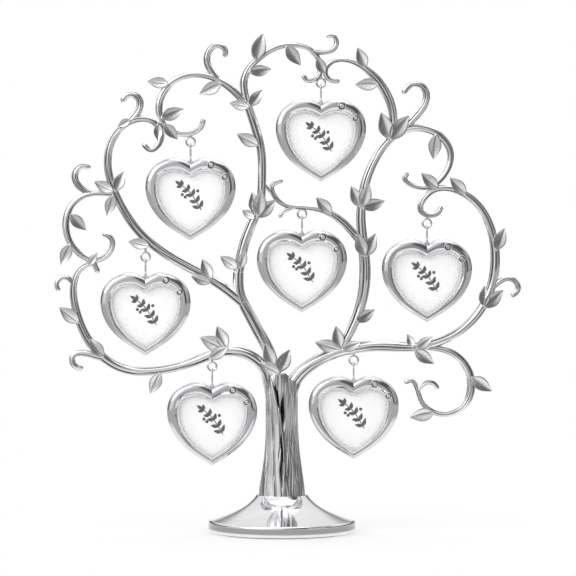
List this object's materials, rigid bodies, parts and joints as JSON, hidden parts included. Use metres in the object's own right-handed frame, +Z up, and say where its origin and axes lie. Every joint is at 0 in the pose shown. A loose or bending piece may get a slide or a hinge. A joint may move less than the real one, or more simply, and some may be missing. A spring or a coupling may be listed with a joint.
{
  "type": "photo tree stand",
  "caption": "Tabletop tree with curling leafed boughs on a round foot; heart-shaped photo frames hang from wire rings under its boughs.",
  "frame": {"origin": "middle of the pad's underside, where the stand rests on a table", "axes": "+Z up along the trunk, +X to the viewer's right, the tree faces -Y"},
  "size_m": [0.2241, 0.0706, 0.2392],
  "materials": {
    "plated_metal": "polished plating",
    "wire": "polished wire",
    "screw_steel": "plain",
    "rubber_pad": "matt",
    "clear_window": "clear",
    "paper": "matt print",
    "crystal": "faceted",
    "back_cover": "fine grain"
  },
  "bodies": {
    "tree": {"base_foot": "plated_metal", "base_pad": "rubber_pad", "base_screw": "screw_steel", "trunk": "plated_metal", "left_limb": "plated_metal", "left_mast": "plated_metal", "left_bough": "plated_metal", "left_loop": "plated_metal", "left_low_bough": "plated_metal", "top_left_scroll": "plated_metal", "top_arch": "plated_metal", "right_bough": "plated_metal", "right_spiral": "plated_metal", "right_limb": "plated_metal", "right_arch": "plated_metal", "centre_branch": "plated_metal", "hanging_rings": "plated_metal"},
    "link_top": {"heart_top_link": "wire"},
    "heart_top": {"heart_top_frame": "plated_metal", "heart_top_window": "clear_window", "heart_top_photo": "paper", "heart_top_crystals": "crystal"},
    "cover_top": {"heart_top_cover": "back_cover"},
    "link_upper_left": {"heart_upper_left_link": "wire"},
    "heart_upper_left": {"heart_upper_left_frame": "plated_metal", "heart_upper_left_window": "clear_window", "heart_upper_left_photo": "paper", "heart_upper_left_crystals": "crystal"},
    "cover_upper_left": {"heart_upper_left_cover": "back_cover"},
    "link_centre": {"heart_centre_link": "wire"},
    "heart_centre": {"heart_centre_frame": "plated_metal", "heart_centre_window": "clear_window", "heart_centre_photo": "paper", "heart_centre_crystals": "crystal"},
    "cover_centre": {"heart_centre_cover": "back_cover"},
    "link_right": {"heart_right_link": "wire"},
    "heart_right": {"heart_right_frame": "plated_metal", "heart_right_window": "clear_window", "heart_right_photo": "paper", "heart_right_crystals": "crystal"},
    "cover_right": {"heart_right_cover": "back_cover"},
    "link_left": {"heart_left_link": "wire"},
    "heart_left": {"heart_left_frame": "plated_metal", "heart_left_window": "clear_window", "heart_left_photo": "paper", "heart_left_crystals": "crystal"},
    "cover_left": {"heart_left_cover": "back_cover"},
    "link_lower_left": {"heart_lower_left_link": "wire"},
    "heart_lower_left": {"heart_lower_left_frame": "plated_metal", "heart_lower_left_window": "clear_window", "heart_lower_left_photo": "paper", "heart_lower_left_crystals": "crystal"},
    "cover_lower_left": {"heart_lower_left_cover": "back_cover"},
    "link_lower_right": {"heart_lower_right_link": "wire"},
    "heart_lower_right": {"heart_lower_right_frame": "plated_metal", "heart_lower_right_window": "clear_window", "heart_lower_right_photo": "paper", "heart_lower_right_crystals": "crystal"},
    "cover_lower_right": {"heart_lower_right_cover": "back_cover"}
  },
  "joints": [
    {"name": "top_swing", "type": "hinge", "parent": "tree", "child": "link_top", "pos_m": [0.0187, 0, 0.2132], "axis": [1, 0, 0], "range_deg": [-75, 75]},
    {"name": "top_sway", "type": "hinge", "parent": "link_top", "child": "heart_top", "pos_m": [0.0187, 0, 0.20563], "axis": [0, 1, 0], "range_deg": [-12, 12]},
    {"name": "top_cover", "type": "hinge", "parent": "heart_top", "child": "cover_top", "pos_m": [0.0187, 0.00231, 0.17183], "axis": [-1, 0, 0], "range_deg": [0, 80]},
    {"name": "upper_left_swing", "type": "hinge", "parent": "tree", "child": "link_upper_left", "pos_m": [-0.0439, 0, 0.185], "axis": [1, 0, 0], "range_deg": [-75, 75]},
    {"name": "upper_left_sway", "type": "hinge", "parent": "link_upper_left", "child": "heart_upper_left", "pos_m": [-0.0439, 0, 0.17743], "axis": [0, 1, 0], "range_deg": [-12, 12]},
    {"name": "upper_left_cover", "type": "hinge", "parent": "heart_upper_left", "child": "cover_upper_left", "pos_m": [-0.0439, 0.00231, 0.14363], "axis": [-1, 0, 0], "range_deg": [0, 80]},
    {"name": "centre_swing", "type": "hinge", "parent": "tree", "child": "link_centre", "pos_m": [0.0096, 0, 0.1504], "axis": [1, 0, 0], "range_deg": [-75, 75]},
    {"name": "centre_sway", "type": "hinge", "parent": "link_centre", "child": "heart_centre", "pos_m": [0.0096, 0, 0.14283], "axis": [0, 1, 0], "range_deg": [-12, 12]},
    {"name": "centre_cover", "type": "hinge", "parent": "heart_centre", "child": "cover_centre", "pos_m": [0.0096, 0.00231, 0.10903], "axis": [-1, 0, 0], "range_deg": [0, 80]},
    {"name": "right_swing", "type": "hinge", "parent": "tree", "child": "link_right", "pos_m": [0.0696, 0, 0.1458], "axis": [1, 0, 0], "range_deg": [-75, 75]},
    {"name": "right_sway", "type": "hinge", "parent": "link_right", "child": "heart_right", "pos_m": [0.0696, 0, 0.13823], "axis": [0, 1, 0], "range_deg": [-12, 12]},
    {"name": "right_cover", "type": "hinge", "parent": "heart_right", "child": "cover_right", "pos_m": [0.0696, 0.00231, 0.10443], "axis": [-1, 0, 0], "range_deg": [0, 80]},
    {"name": "left_swing", "type": "hinge", "parent": "tree", "child": "link_left", "pos_m": [-0.0655, 0, 0.1298], "axis": [1, 0, 0], "range_deg": [-75, 75]},
    {"name": "left_sway", "type": "hinge", "parent": "link_left", "child": "heart_left", "pos_m": [-0.0655, 0, 0.12223], "axis": [0, 1, 0], "range_deg": [-12, 12]},
    {"name": "left_cover", "type": "hinge", "parent": "heart_left", "child": "cover_left", "pos_m": [-0.0655, 0.00231, 0.08843], "axis": [-1, 0, 0], "range_deg": [0, 80]},
    {"name": "lower_left_swing", "type": "hinge", "parent": "tree", "child": "link_lower_left", "pos_m": [-0.0335, 0, 0.0771], "axis": [1, 0, 0], "range_deg": [-75, 75]},
    {"name": "lower_left_sway", "type": "hinge", "parent": "link_lower_left", "child": "heart_lower_left", "pos_m": [-0.0335, 0, 0.06953], "axis": [0, 1, 0], "range_deg": [-12, 12]},
    {"name": "lower_left_cover", "type": "hinge", "parent": "heart_lower_left", "child": "cover_lower_left", "pos_m": [-0.0335, 0.00231, 0.03573], "axis": [-1, 0, 0], "range_deg": [0, 80]},
    {"name": "lower_right_swing", "type": "hinge", "parent": "tree", "child": "link_lower_right", "pos_m": [0.0344, 0, 0.0801], "axis": [1, 0, 0], "range_deg": [-75, 75]},
    {"name": "lower_right_sway", "type": "hinge", "parent": "link_lower_right", "child": "heart_lower_right", "pos_m": [0.0344, 0, 0.07253], "axis": [0, 1, 0], "range_deg": [-12, 12]},
    {"name": "lower_right_cover", "type": "hinge", "parent": "heart_lower_right", "child": "cover_lower_right", "pos_m": [0.0344, 0.00231, 0.03873], "axis": [-1, 0, 0], "range_deg": [0, 80]}
  ]
}
